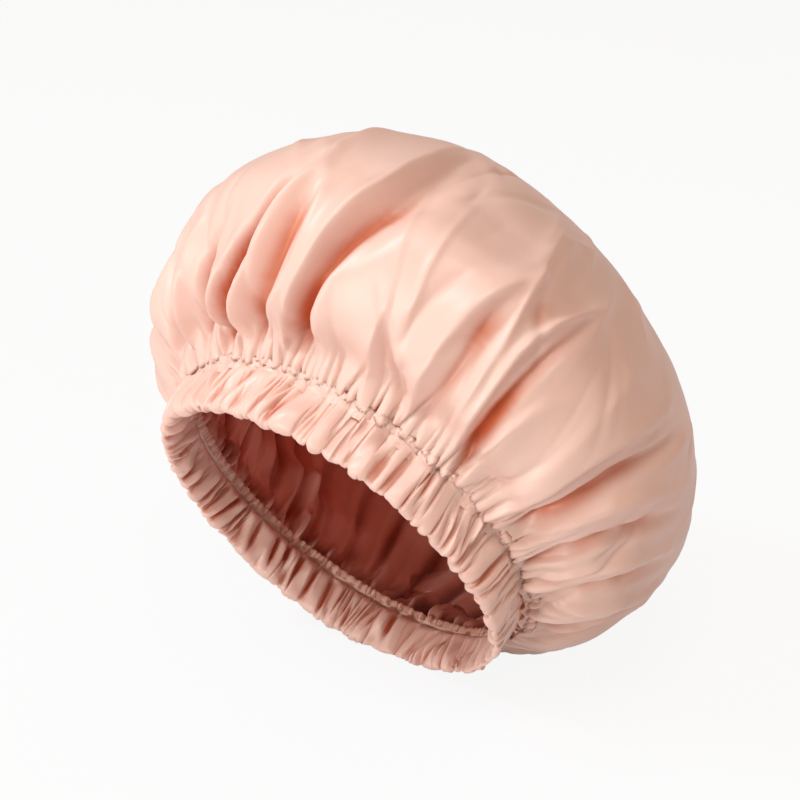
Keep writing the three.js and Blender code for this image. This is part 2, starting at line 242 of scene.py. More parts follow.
# Folds in the photograph: half widths left and right, then (degrees, arc, height) along each, in mm
FOLDS = {
    # The tall folds on the photo's left
    "first ridge": (3.0, 7.0, [(105, 18, 4), (103, 24, 5.5), (101, 31, 6), (98.5, 38, 6), (96, 46, 6),
        (94, 53, 6), (90, 69, 5), (88.5, 79, 4), (90, 100, 2.5), (94, 121, 1)]),
    "first valley": (3.0, 3.6, [(109, 17, -8), (106.7, 24, -11), (104.4, 31, -12), (101.7, 38, -11),
        (99, 46, -9), (97, 53, -6.5), (95, 62, -4), (94, 75, -1.5)]),
    "second ridge": (3.5, 4.0, [(93, 18, 2), (92.5, 25, 3), (90.5, 31, 3.5), (88.5, 35, 3.5),
        (86, 44, 3.5), (84.5, 55, 3), (84.5, 67, 2), (86, 73, 1)]),
    "between ridges": (4.0, 4.0, [(98, 20, -2.8), (96.5, 29, -3.5), (93, 39, -3.5), (90, 51, -3),
        (88, 61, -2), (87, 75, -1)]),
    "third ridge": (6.0, 2.8, [(89, 18, 3), (88, 23, 4), (86, 32, 5), (84, 39, 5.5), (82.5, 44, 5.5),
        (80.5, 56, 5.5), (78, 69, 5), (76, 80, 4), (75, 105, 2.5), (76, 126, 1)]),
    "third valley": (3.0, 3.6, [(85.5, 18, -4), (84.5, 25, -6), (83.3, 33, -7), (82, 40, -7),
        (80.5, 46, -6), (78, 56, -4), (76, 64, -2)]),
    "trough": (3.5, 10.0, [(79, 52, -2), (76, 62, -4), (74, 72, -4.5), (72, 85, -4), (71, 100, -3),
        (71, 118, -1.5)]),
    # Small folds over the seam, below the big panel
    "panel edge": (2.4, 8.0, [(80, 19, 2), (80.5, 26, 3), (81, 34, 3), (80.5, 42, 2.5), (79, 49, 1.5)]),
    "small ridge": (3.5, 3.0, [(66, 12, 1.5), (66, 25, 2.5), (66, 34, 2)]),
    "small valley": (2.2, 3.0, [(56.5, 13, -1.8), (58.5, 20, -2.4), (61.5, 28, -2.4), (64, 36, -1.4)]),
    "short crease": (2.5, 4.0, [(60.5, 38, -1.2), (60, 47, -1.6), (58, 55, -1)]),
    # The folds that fan out to the right of the panel
    "near ridge": (5.0, 3.6, [(53.5, 18, 1.8), (54.3, 33, 2.8), (53, 46, 3), (51, 58, 2.8),
        (48.7, 67, 2.5), (47, 73, 2.3), (44.5, 81, 1.6)]),
    "near valley": (2.6, 3.6, [(49.5, 18, -1.6), (49, 34, -1.9), (48.2, 48, -1.7), (47.6, 60, -1.3),
        (46.5, 69, -0.6)]),
    "middle ridge": (3.2, 3.0, [(43.5, 18, 1.8), (44.5, 33, 2.3), (44.2, 45, 2.4), (43.6, 56, 2.4),
        (43.6, 66, 2.3), (44, 79, 2), (44.5, 95, 1.2)]),
    "dent rim": (5.0, 7.0, [(56, 54, 0.5), (52, 65, 1), (49, 76, 1.3), (46, 90, 1.5), (45, 111, 1.3),
        (45, 129, 0.7)]),
    "long valley": (2.0, 2.6, [(35.5, 13, -2.8), (37.5, 25, -3.2), (38, 38, -3.2), (36.8, 52, -2.9),
        (35, 64, -2.3), (33, 79, -1.4)]),
    "valley lip": (3.4, 2.0, [(39.5, 18, 2.2), (41.2, 31, 3), (41.2, 45, 3.3), (40.4, 57, 3.3),
        (38.4, 68, 3.1), (36, 79, 2.6), (32.5, 92, 1.6)]),
    "right ridge": (2.4, 7.0, [(33, 14, 1.8), (34.6, 26, 2.9), (34.4, 38, 2.7), (32.8, 47, 1.6),
        (30, 54, 0.5)]),
    # The right side, down toward the surface
    "plateau": (12.0, 12.0, [(23, 26, 2), (23, 45, 3), (21, 65, 2.5), (19, 85, 1.5)]),
    "far valley": (2.8, 5.0, [(12.5, 14, -3), (14.6, 28, -3.8), (13.4, 42, -3.8), (11, 54, -3.4),
        (7, 68, -2.9), (3, 84, -1.8)]),
    "far ridge": (9.0, 2.2, [(18.5, 16, 2.5), (20.3, 27, 3.4), (19.6, 39, 3.6), (18.1, 50, 3.6),
        (15.2, 61, 3.2), (11.6, 73, 2.6), (7.5, 90, 1.3)]),
    "lower ridge": (2.6, 6.0, [(7.5, 14, 2.2), (10, 27, 3.2), (9.5, 37, 3.4), (7, 48, 3.2),
        (2, 61, 2.3), (356, 74, 1.2)]),
    "lower valley": (2.8, 4.4, [(2, 12, -2.9), (3.6, 26, -3.4), (2.6, 38, -3.4), (358.5, 50, -2.8),
        (354, 62, -1.9)]),
    "low ridge": (3.0, 5.0, [(353, 12, 2.4), (356.5, 24, 3.4), (355.6, 34, 3.4), (351.6, 45, 2.8),
        (346.5, 57, 1.7), (340, 70, 0.7)]),
    "low valley": (3.0, 5.0, [(346.5, 12, -2.9), (348.5, 26, -3.6), (347.5, 38, -3.4),
        (343, 52, -2.4)]),
    "lowest ridge": (4.0, 4.5, [(338, 12, 2.6), (340, 26, 4), (338, 40, 3.6), (333, 54, 2.2)]),
    "lowest valley": (5.0, 5.0, [(327, 12, -4.5), (329, 26, -6), (327, 40, -4.5)]),
    # Dents in the panel
    "oval dent": (17.0, 17.0, [(57, 78, -0.4), (56, 88, -1.6), (55, 98, -1.6), (54, 106, -0.4)]),
    "star dent": (5.0, 5.0, [(63, 100, -0.7), (63, 106, -1.3), (64, 112, -0.5)]),
    # The left edge
    "left ridge": (6.0, 2.0, [(112.6, 17, 4), (110.2, 25, 5.5), (108, 31, 5.5), (105.4, 39, 4.5),
        (102.5, 46, 3), (100, 54, 1)]),
    "left valley": (3.0, 3.2, [(121, 17, -3), (118, 25, -5), (116, 35, -5), (113, 44, -3)]),
    "outer ridge": (5.0, 3.2, [(129, 17, 3), (125, 25, 4.5), (122.5, 35, 4.5), (120, 44, 3)]),
    "outer valley": (3.2, 3.2, [(137, 18, -3), (133, 28, -5), (130, 38, -4), (127, 48, -2.9)]),
    "edge ridge": (5.0, 4.0, [(146, 18, 3), (142, 32, 3.6), (138, 45, 2.4), (134, 60, 2.2),
        (131, 74, 1)]),
    "edge valley": (4.5, 4.5, [(168, 14, -3), (166, 32, -4), (162, 50, -3)]),
    # Broad forms
    "left fullness": (20.0, 26.0, [(160, 12, 2.4), (158, 24, 3.6), (156, 33, 3.2), (153, 43, 0.6)]),
    "left shoulder": (34.0, 34.0, [(152, 40, -1.4), (147, 48, -3.8), (143, 58, -5), (136, 74, -5),
        (127, 96, -2.5), (120, 120, -0.5)]),
    "low fullness": (16.0, 16.0, [(316, 52, 0.3), (319, 68, 1.8), (323, 82, 1.8), (328, 98, 0.4)]),
    "top shoulder": (35.0, 35.0, [(78, 90, 0.5), (78, 120, 1.5), (78, 150, 2), (78, 180, 1)]),
    "right shoulder": (45.0, 45.0, [(28, 60, -0.5), (28, 95, -3), (28, 130, -3), (28, 170, -1)]),
}
FOLD_START = 7.0
FOLD_END = 16.0
FOLD_GAIN = 1.5
DEEP_FOLD = -2.7
DEEP_POWER = 2.8
PLAIN_POWER = 1.4


def crisp(aside):
    """A narrow crease's section: a rounded tip of height 1 that flattens out on both sides."""
    from_tip = np.sqrt(aside**2 + 0.03) - 0.173
    return np.exp(-1.5 * from_tip - (aside / 2.0) ** 2)


def wrapped(angles):
    return (angles + math.pi) % math.tau - math.pi


def aside_of(turn, angles, radii):
    """How far each point lies, across the cloth, from a line at each row's angle."""
    return wrapped(angles[None, :] - turn) * radii[:, None]


def fold_field(folds, arcs, radii, angles):
    """How far out the photographed folds bring each point, each fading past its two ends."""
    field = np.zeros((len(arcs), len(angles)))
    for left_width, right_width, course in folds.values():
        degrees, arc, height = np.array(course, float).T
        turn = np.unwrap(np.radians(degrees))
        before = turn[0] - (turn[1] - turn[0]) / (arc[1] - arc[0]) * FOLD_START
        after = turn[-1] + (turn[-1] - turn[-2]) / (arc[-1] - arc[-2]) * FOLD_END
        arc = np.array([arc[0] - FOLD_START, *arc, arc[-1] + FOLD_END])
        middle = np.interp(arcs, arc, [before, *turn, after])
        tall = np.interp(arcs, arc, [0, *height, 0])
        aside = aside_of(middle[:, None], angles, radii)
        width = np.where(aside > 0, left_width, right_width)
        power = DEEP_POWER if height.min() < DEEP_FOLD else PLAIN_POWER
        field += FOLD_GAIN * tall[:, None] * np.exp(-np.abs(aside / width) ** power)
    return field


def pinches(arcs, radii, angles, count, depths, reaches, seed):
    """Creases that stitching pulls in: sharp where they start, wider and fainter further on."""
    rng = np.random.default_rng(seed)
    rise = np.maximum(arcs - PINCH_START, 0)
    width = (PINCH_WIDTH + PINCH_SPREAD * rise)[:, None]
    field = np.zeros((len(arcs), len(angles)))
    steps = 0.35 + 1.3 * rng.random(count)
    for turn in np.cumsum(steps) / steps.sum() * math.tau:
        lean = rng.normal(0, PINCH_LEAN)
        reach = rng.uniform(*reaches) * float(angle_share(turn, PINCH_REACH))
        depth = rng.uniform(*depths) * smooth(rise / 2.5) * bell(rise, 0, reach)
        aside = aside_of((turn + lean * rise / radii)[:, None], angles, radii)
        field -= depth[:, None] * crisp(aside / width)
    return field


def creases(arcs, radii, angles, count, seed):
    """Faint crisp lines left in the cloth, each short and near the way that the folds run."""
    rng = np.random.default_rng(seed)
    field = np.zeros((len(arcs), len(angles)))
    for _ in range(count):
        rise = (arcs - rng.uniform(*CREASE_ARCS))[:, None]
        aside = aside_of(rng.uniform(0, math.tau), angles, radii)
        lean = rng.normal(0, CREASE_LEAN)
        onward = rise * math.cos(lean) + aside * math.sin(lean)
        across = aside * math.cos(lean) - rise * math.sin(lean)
        height = rng.uniform(*CREASE_HEIGHTS) * rng.choice((-1, 1))
        width = rng.uniform(*CREASE_WIDTHS)
        length = rng.uniform(*CREASE_LENGTHS)
        field += height * crisp(across / width) * bell(onward, 0, length)
    return field


def uneven_wave(columns, count, low, high, seed):
    """A closed wave of count pleats of uneven width and height."""
    rng = np.random.default_rng(seed)
    widths = 0.4 + 1.2 * rng.random(count)
    edges = np.concatenate([[0], np.cumsum(widths)]) / widths.sum() * math.tau
    heights = low + (high - low) * rng.random(count + 1)
    heights[-1] = heights[0]
    angles = turned(columns)
    phase = np.interp(angles, edges, np.arange(count + 1) * math.tau)
    size = np.interp(angles, edges, heights)
    return size * np.cos(phase), size * np.sin(phase)


def puffed_wave(columns, count, low, high, seed):
    """The same pleats with round tops and sharp valleys, as stitching pinches them."""
    out, aside = uneven_wave(columns, count, low, high, seed)
    size = np.hypot(out, aside)
    turn = np.arctan2(aside, out)
    return size * (2.2 * np.abs(np.cos(turn / 2)) ** 0.8 - 1.35), aside


def puffs(columns, count, low, high, seed):
    """Round puffs from nothing up to each one's height, pinched sharply between."""
    out, aside = uneven_wave(columns, count, low, high, seed)
    return np.hypot(out, aside) * np.abs(np.cos(np.arctan2(aside, out) / 2)) ** 0.65


def leant(wave, shift):
    """A wave round the cap on every row, moved aside by each point's shift in radians."""
    angles = turned(len(wave))
    return np.interp(angles + shift, angles, wave, period=math.tau)


def drift(columns, swings, seed):
    """A closed smooth random curve between 0 and 1 with about so many swings."""
    rng = np.random.default_rng(seed)
    values = rng.random(swings + 1)
    values[-1] = values[0]
    at_value = turned(columns) * swings / math.tau
    left = np.floor(at_value).astype(int)
    share = smooth(at_value - left)
    return values[left] * (1 - share) + values[left + 1] * share


def angle_share(angles, stops):
    """A value for each angle from stops of (degrees, value) round the cap."""
    at, value = np.array(stops, float).T
    return np.interp(np.degrees(angles), at, value, period=360)


# The cloth solver: a grid of points with links that hold its rest lengths
MOMENTUM = 0.85
STRETCH = 0.9
SQUEEZE_ACROSS = 0.75
SQUEEZE_ALONG = 0.35
SLANT_PULL = 0.1
BACK_ACROSS = 0.02
STEADY_WAVES = 6
STEADY_SHARE = 0.25
LEAST_GAP = 0.06


def apart(first, second):
    return np.linalg.norm(second - first, axis=2)


class Cloth:
    def __init__(self, arcs, base, seed_out, goal, pinned, lowest, highest):
        self.arcs = arcs
        self.base = base.astype(np.float32)
        self.across, self.along, self.out = (d.astype(np.float32) for d in directions(base))
        self.seed_out = seed_out.astype(np.float32)
        self.start = self.base + self.seed_out[..., None] * self.out
        self.points = self.start.copy()
        self.pinned = pinned
        self.lowest = lowest
        self.highest = highest
        points = self.points
        self.spacing = apart(self.base, np.roll(self.base, -1, 1))
        self.rest_along = apart(points[:-1], points[1:])
        self.rest_across = apart(points, np.roll(points, -1, 1))
        self.rest_rising = apart(points[:-1, :-1], points[1:, 1:])
        self.rest_falling = apart(points[:-1, 1:], points[1:, :-1])
        self.goal = goal.astype(np.float32)
        self.slide = 5.0
        self.soft = np.ones(len(base), np.float32)
        self.floor = 0.25


def pull(first, second, rest, stretch, squeeze):
    """Moves two matching sets of points to their rest distance, in place."""
    between = second - first
    length = np.sqrt(dot(between, between)) + 1e-6
    error = (length - rest) / length
    error *= np.where(error > 0, 0.5 * stretch, 0.5 * squeeze)
    between *= error[..., None]
    first += between
    second -= between


def pull_across(points, rest, stretch, squeeze):
    pull(points[:, 0::2], points[:, 1::2], rest[:, 0::2], stretch, squeeze)
    pull(points[:, 1:-1:2], points[:, 2::2], rest[:, 1:-1:2], stretch, squeeze)
    pull(points[:, -1], points[:, 0], rest[:, -1], stretch, squeeze)


def row_pairs(points):
    """Neighbouring rows in two turns, so that no row is in two pairs at once."""
    for start in (0, 1):
        end = start + (len(points) - start) // 2 * 2
        rows = slice(start, end, 2)
        yield rows, points[rows], points[start + 1 : end : 2]


def pull_along(points, rest, stretch, squeeze):
    for rows, first, second in row_pairs(points):
        pull(first, second, rest[rows], stretch, squeeze)


def pull_slanted(points, rising, falling, strength):
    for rows, first, second in row_pairs(points):
        pull(first[:, :-1], second[:, 1:], rising[rows], strength, strength)
        pull(first[:, 1:], second[:, :-1], falling[rows], strength, strength)


def lap_across(points):
    return np.roll(points, 1, 1) + np.roll(points, -1, 1) - 2 * points


def stiffen(points, strength, strength_along):
    """Smooths the cloth's bends a little, across and along."""
    points -= strength[:, None, None] * lap_across(lap_across(points))
    lap = np.zeros_like(points)
    lap[1:-1] = points[:-2] + points[2:] - 2 * points[1:-1]
    points[1:-1] -= strength_along[1:-1, None, None] * (lap[:-2] + lap[2:] - 2 * lap[1:-1])


def hold(cloth, steady):
    """Keeps the cloth in its limits, in order round the cap, and near its mean shape."""
    moved = cloth.points - cloth.base
    out, across, along = dot(moved, cloth.out), dot(moved, cloth.across), dot(moved, cloth.along)
    for _ in range(2):
        gap = cloth.spacing + np.roll(across, -1, 1) - across
        short = np.maximum(LEAST_GAP * cloth.spacing - gap, 0) / 2
        across -= short
        across += np.roll(short, 1, 1)
    across -= BACK_ACROSS * across
    if steady:
        off = np.fft.rfft(out - cloth.seed_out, axis=1)
        off[:, STEADY_WAVES:] = 0
        out -= STEADY_SHARE * np.fft.irfft(off, out.shape[1], axis=1).astype(np.float32)
    out += cloth.goal * (cloth.seed_out - out)
    out = np.clip(out, cloth.lowest, cloth.highest)
    along = np.clip(along, -cloth.slide, cloth.slide) * (1 - cloth.goal)
    cloth.points = cloth.base + out[..., None] * cloth.out
    cloth.points += across[..., None] * cloth.across
    cloth.points += along[..., None] * cloth.along
    for row, points in cloth.pinned.items():
        cloth.points[row] = points
    cloth.points[..., 2] = np.maximum(cloth.points[..., 2], cloth.floor)


def relax(cloth, steps, bend):
    before = cloth.points.copy()
    for step in range(steps):
        carried = MOMENTUM * (cloth.points - before)
        before = cloth.points.copy()
        cloth.points += carried
        for _ in range(2):
            pull_across(cloth.points, cloth.rest_across, STRETCH, SQUEEZE_ACROSS)
            pull_along(cloth.points, cloth.rest_along, STRETCH, SQUEEZE_ALONG)
        pull_slanted(cloth.points, cloth.rest_rising, cloth.rest_falling, SLANT_PULL)
        stiffen(cloth.points, bend[0] * cloth.soft, bend[1] * cloth.soft)
        hold(cloth, step % 4 == 0)
    cloth.points = cloth.points.astype(np.float64)
    return cloth


def resample(grid, rows, columns):
    """A grid of points at another count of rows and columns, its columns closed."""
    at_column = np.arange(columns) * grid.shape[1] / columns
    left = np.floor(at_column).astype(int)
    share = (at_column - left).reshape((1, -1) + (1,) * (grid.ndim - 2))
    wide = grid[:, left] * (1 - share) + grid[:, (left + 1) % grid.shape[1]] * share
    at_row = np.linspace(0, grid.shape[0] - 1, rows)
    low = np.minimum(np.floor(at_row).astype(int), grid.shape[0] - 2)
    share = (at_row - low).reshape((-1, 1) + (1,) * (grid.ndim - 2))
    return wide[low] * (1 - share) + wide[low + 1] * share


# Pleats that the stitching gathers, shared by crown, lining and casing
def seam_points(columns, radius, up, amount=1.0):
    """The stitched line: a wave of uneven pleats at one radius and height."""
    out, aside = puffed_wave(columns, PLEAT_COUNT, *PLEAT_HEIGHTS, PLEAT_SEED)
    angles = turned(columns)
    up = up + amount * SEAM_WANDER * (drift(columns, swings=71, seed=3) - 0.5)
    wide = radius + amount * out
    turn = angles + SEAM_SWAY * amount * aside * np.cos(PLEAT_COUNT * angles / 7) / radius
    return from_mouth(wide * np.cos(turn), wide * np.sin(turn), up).astype(np.float32)


def held_at_apex(rise):
    return 0.6 * ramp_up(rise, 185, 30)


def crown_seed(arcs, radii, columns):
    """How far the cloth starts from the plain crown: the photographed folds and the gathers."""
    angles = turned(columns)
    rise = arcs[:, None]
    shown = angle_share(angles, GATHERS_SHOWN)
    eased = angle_share(angles, LIP_EASED)
    stitched = puffed_wave(columns, PLEAT_COUNT, *PLEAT_HEIGHTS, PLEAT_SEED)[0]
    gathers = puffed_wave(columns, GATHER_COUNT, *GATHER_HEIGHTS, seed=23)[0]
    reach = 46 + 90 * drift(columns, swings=19, seed=8) ** 2
    broad = uneven_wave(columns, 9, 0.6, 1.8, seed=31)[0] * ramp_up(rise, 0, 60)
    field = fold_field(FOLDS, arcs, radii, angles) * ramp_up(rise, 5, 5.5)
    # The lip over the seam bulges, except where the photograph shows it eased in
    field += 2.2 * (1 - eased) * (ramp_up(rise, 0, 9) * ramp_down(rise, 60, 40))
    field -= 6.0 * eased * bell(rise, 20, 9)
    field += stitched * bell(rise, 0, 5)
    field += 3.2 * ramp_up(rise, 2.2, 2.2) * bell(rise, 7.5, 5.5)
    # Gathers and broad waves for the sides that the photograph doesn't show
    field += shown * gathers * ramp_up(rise, 0, 22) * bell(np.maximum(rise - 12, 0), 0, reach)
    field += broad * ramp_down(rise, FULL_ARC - 25, 70) * (0.15 + 0.85 * shown)
    # Tall folds bend over softly as they near the limit, instead of being cut flat
    limit = 3.5 + 6.5 * ramp_up(rise, 0, 35)
    return np.where(field > 0, limit * np.tanh(field / limit), field)


def crown_fine(arcs, radii, columns):
    """The puffs and creases that the stitching pinches in, and the small creases."""
    angles = turned(columns)
    rise = arcs[:, None]
    field = puffs(columns, PLEAT_COUNT, *PUFF_HEIGHTS, PLEAT_SEED) * ramp_up(rise, 4, 3.5)
    reach = (9 + 9 * drift(columns, swings=47, seed=5)) * angle_share(angles, PINCH_REACH)
    field *= bell(np.maximum(rise - 8, 0), 0, reach)
    field += pinches(arcs, radii, angles, 76, depths=(1.4, 4.2), reaches=(9, 24), seed=61)
    field += pinches(arcs, radii, angles, 48, depths=(1.4, 3.6), reaches=(20, 52), seed=62)
    return field + creases(arcs, radii, angles, 190, seed=53)


def crown_cloth(columns, rows):
    arcs, radii, base = dome_base(rows, columns)
    rise = arcs[:, None]
    seed = crown_seed(arcs, radii, columns)
    if columns >= FINE_COLUMNS:
        seed += crown_fine(arcs, radii, columns)
    # How far the cloth may leave the plain crown, and how closely it rolls over the casing's lip
    edge = 3.0 + 0.16 * rise
    lowest = np.minimum(-edge - 8 * ramp_up(rise, 12, 20), seed - 0.5)
    over_lip = ramp_up(rise, 2.8, 1.2) * ramp_down(rise, 9, 3)
    lowest = lowest * (1 - over_lip) + (seed - 0.3) * over_lip
    highest = np.maximum(np.minimum(edge, 8.5), seed + 0.5)
    near = seam_points(columns, SEAM_RADIUS, CROWN_EDGE_UP)
    goal = 0.02 + 0.12 * ramp_down(rise, 45, 35) + held_at_apex(rise)
    cloth = Cloth(arcs, base, seed, goal, {0: near}, lowest, highest)
    gathered = 1 + 0.25 * bell(rise, 0, 15) + 0.01
    cloth.rest_across *= gathered.astype(np.float32)
    cloth.soft = (0.12 + 0.88 * ramp_up(arcs, 8, 45)).astype(np.float32)
    return cloth


def settle(make, levels, bends):
    """Works a cloth out on ever finer grids, each starting where the last ended."""
    last = None
    for (columns, rows, steps), bend in zip(levels, bends):
        cloth = make(columns, rows)
        if last is not None:
            moved = resample(last.points - last.start, rows, columns)
            cloth.points = (cloth.start + moved).astype(np.float32)
        last = relax(cloth, steps, bend)
    return last


# Meshes
def grid_faces(rows, columns, offset=0):
    row = np.arange(rows - 1)[:, None] * columns
    column = np.arange(columns)[None, :]
    beside = (column + 1) % columns
    corners = [row + column, row + beside, row + columns + beside, row + columns + column]
    return np.stack(corners, axis=-1).reshape(-1, 4) + offset


def fan_faces(ring, middle):
    """Triangles from a closed ring of points to its middle point."""
    return np.stack([ring, np.roll(ring, -1), np.full(len(ring), middle)], axis=-1)


def mesh_object(name, points, quads, triangles=None, uv=None):
    mesh = bpy.data.meshes.new(name)
    triangles = np.zeros((0, 3), int) if triangles is None else triangles
    mesh.vertices.add(len(points))
    mesh.vertices.foreach_set("co", (points * MM).astype(np.float32).ravel())
    corners = np.concatenate([quads.ravel(), triangles.ravel()]).astype(np.int32)
    mesh.loops.add(len(corners))
    mesh.loops.foreach_set("vertex_index", corners)
    sides = np.concatenate([np.full(len(quads), 4), np.full(len(triangles), 3)])
    mesh.polygons.add(len(sides))
    mesh.polygons.foreach_set("loop_start", (np.cumsum(sides) - sides).astype(np.int32))
    if uv is not None:
        layer = mesh.uv_layers.new(name="cut")
        layer.data.foreach_set("uv", uv[corners].astype(np.float32).ravel())
    mesh.update(calc_edges=True)
    mesh.validate()
    mesh.polygons.foreach_set("use_smooth", np.ones(len(mesh.polygons), bool))
    piece = bpy.data.objects.new(name, mesh)
    bpy.context.scene.collection.objects.link(piece)
    return piece


def widest(grid, reach, pick):
    """The greatest or least value within reach on both sides round each row of a grid."""
    best = grid.copy()
    for step in range(1, reach + 1):
        best = pick(best, pick(np.roll(grid, step, 1), np.roll(grid, -step, 1)))
    return best


def paint_fold_shade(piece, cloth, reach, first_depth, full_depth, side=1):
    """Paints shade into narrow folds: marks how deep each point lies in a fold, 0 down to first_depth,
    1 at full_depth, as the share of painted shade colour there.
    """
    out = side * dot(cloth.points - cloth.base, cloth.out)
    banks = widest(widest(out, reach, np.maximum), reach, np.minimum)
    share = ramp_up(softened(banks - out, 2, axis=1), first_depth, full_depth - first_depth)
    values = np.zeros(len(piece.data.vertices), np.float32)
    values[: share.size] = share.ravel()
    layer = piece.data.attributes.new("painted_shade", "FLOAT", "POINT")
    layer.data.foreach_set("value", values)


def disc_uv(arcs, columns):
    """Where each point lies on the flat disc that the cloth was cut as, in metres."""
    from_middle = (FULL_ARC - arcs)[:, None] * MM
    angles = turned(columns)
    uv = np.stack([from_middle * np.cos(angles), from_middle * np.sin(angles)], axis=-1)
    return np.vstack([uv.reshape(-1, 2), [[0.0, 0.0]]])


def dome_object(name, cloth):
    rows, columns = cloth.points.shape[:2]
    points = cloth.points.reshape(-1, 3)
    top = points[-columns:].mean(0) + 0.5 * UP
    points = np.vstack([points, top])
    triangles = fan_faces((rows - 1) * columns + np.arange(columns), rows * columns)
    quads = grid_faces(rows, columns)
    uv = disc_uv(cloth.arcs, columns)
    return mesh_object(name, points, quads[:, ::-1], triangles[:, ::-1], uv)


crown = settle(crown_cloth, CROWN_LEVELS, bends=((0.002, 0.004), (0.0025, 0.006), (0.003, 0.01)))
crown_satin = dome_object("crown_satin", crown)
# Painted shade: the crown's colour turns darker orange in its deep narrow folds
paint_fold_shade(crown_satin, crown, reach=8, first_depth=1.4, full_depth=8.0)


# The lining: a second dome with broader folds of its own, close under the crown
def lowest_near(grid, reach_rows, reach_columns):
    """The least value round each point of a grid, then smoothed."""
    least = grid.copy()
    for _ in range(reach_columns):
        least = np.minimum(least, np.minimum(np.roll(least, 1, 1), np.roll(least, -1, 1)))
    for _ in range(reach_rows):
        least[1:] = np.minimum(least[1:], least[:-1])
        least[:-1] = np.minimum(least[:-1], least[1:])
    for _ in range(2 * reach_columns):
        least = softened(least, 1, axis=1)
        least[1:-1] = (least[:-2] + 2 * least[1:-1] + least[2:]) / 4
    return least


def lining_folds(arcs, columns):
    """How far the lining hangs in below the crown, with folds of its own."""
    angles = turned(columns)
    rise = arcs[:, None]
    slant = 0.5 * (drift(columns, swings=9, seed=45) - 0.5) * (rise / 120)
    broad = leant(puffs(columns, 34, 3.0, 9.0, seed=41), slant) * ramp_up(rise, 1, 12)
    narrow = leant(puffs(columns, 63, 0.5, 3.6, seed=43), 1.5 * slant) * ramp_up(rise, 0, 6)
    near = 55 + 50 * drift(columns, swings=23, seed=46)
    far = 120 + 60 * drift(columns, swings=13, seed=44)
    hang = 12 * angle_share(angles, LINING_HANG) * bell(rise, 36, 21)
    folds = broad * bell(rise, 0, far) + narrow * bell(rise, 0, near)
    return hang + folds * angle_share(angles, LINING_FOLDED)


def lining_cloth(columns, rows):
    arcs, _, base = dome_base(rows, columns)
    rise = arcs[:, None]
    outer = resample(dot(crown.points - crown.base, crown.out), rows, columns)
    loose = ramp_up(rise, 5, 24)
    ceiling = (outer - 0.7) * (1 - loose) + (lowest_near(outer, 2, 5) - LINING_UNDER) * loose
    seed = ceiling - lining_folds(arcs, columns)
    lowest = np.minimum(LINING_LOWEST, seed - 0.5)
    near = seam_points(columns, SEAM_RADIUS - LINING_UNDER, CROWN_EDGE_UP)
    cloth = Cloth(arcs, base, seed, 0.05 + held_at_apex(rise), {0: near}, lowest, ceiling)
    cloth.rest_across *= (1 + 0.2 * bell(rise, 0, 14)).astype(np.float32)
    cloth.floor = 1.1
    return cloth


lining = settle(lining_cloth, LINING_LEVELS, bends=((0.002, 0.005), (0.003, 0.008)))
lining_film = dome_object("lining_film", lining)
# Painted shade: the lining's colour turns dark brown in its deep folds
paint_fold_shade(lining_film, lining, reach=9, first_depth=0.0, full_depth=5.0, side=-1)


# The casing: a strip folded round the elastic, stitched through both lips
def lengths_along(line):
    return np.concatenate([[0], np.cumsum(np.linalg.norm(np.diff(line, axis=0), axis=1))])


def casing_section(rows):
    """Radius and height down the inner lip, round the rim and up the outer one, and the arcs."""
    middle, half = BAND_MIDDLE_RADIUS, TUNNEL_HALF
    turn = np.linspace(0, math.pi, 14)
    rim = np.stack([middle - half * np.cos(turn), half - half * np.sin(turn)], axis=1)
    inner = [[SEAM_RADIUS - 2.2, CASING_WIDTH], [middle - half, CASING_WIDTH - 5.5]]
    outer = [[middle + half, CASING_WIDTH - 4.5], [SEAM_RADIUS + 0.6, OUTER_LIP_UP]]
    line = np.vstack([inner, rim, outer])
    arc = lengths_along(line)
    arcs = np.linspace(0, arc[-1], rows)
    return np.interp(arcs, arc, line[:, 0]), np.interp(arcs, arc, line[:, 1]), arcs


def casing_face(arcs, columns, stitch, rim, tall, seed):
    """Puffs on one face of the casing: some pleats at the stitches merge on the way to the rim."""
    angles = turned(columns)
    way = (arcs - stitch) / (rim - stitch)
    leaning = drift(columns, 31, seed) - 0.5
    slant = 0.2 * leaning * way[:, None]
    low, high = CASING_PUFFS[0] * tall, CASING_PUFFS[1] * tall
    at_stitch = leant(puffs(columns, PLEAT_COUNT, low, high, PLEAT_SEED), slant)
    at_rim = leant(puffs(columns, RIM_PLEAT_COUNT, low, high, seed + 2), slant)
    merge = 0.2 + 0.6 * drift(columns, 53, seed + 3)
    share = smooth((way[:, None] - merge) / 0.5 + 0.5)
    field = at_stitch * (1 - share) + at_rim * share
    rng = np.random.default_rng(seed + 4)
    for _ in range(CASING_CREASES):
        turn = rng.uniform(0, math.tau)
        local = float(np.interp(turn, angles, leaning))
        middle = rng.uniform(0.0, 1.0)
        length = rng.uniform(0.25, 0.7)
        depth = rng.uniform(1.6, 4.6) * tall * bell(way, middle, length)
        offset = (rng.normal(0, 1.2) - 14 * local) * way + rng.normal(0, 0.8) * (way - middle) ** 2
        aside = wrapped(angles[None, :] - turn) * SEAM_RADIUS - offset[:, None]
        field -= depth[:, None] * crisp(aside / rng.uniform(0.5, 0.9))
    shallow = LEAST_PUFF * np.exp(np.minimum(field / LEAST_PUFF - 1, 0))
    return np.where(field > LEAST_PUFF, field, shallow)


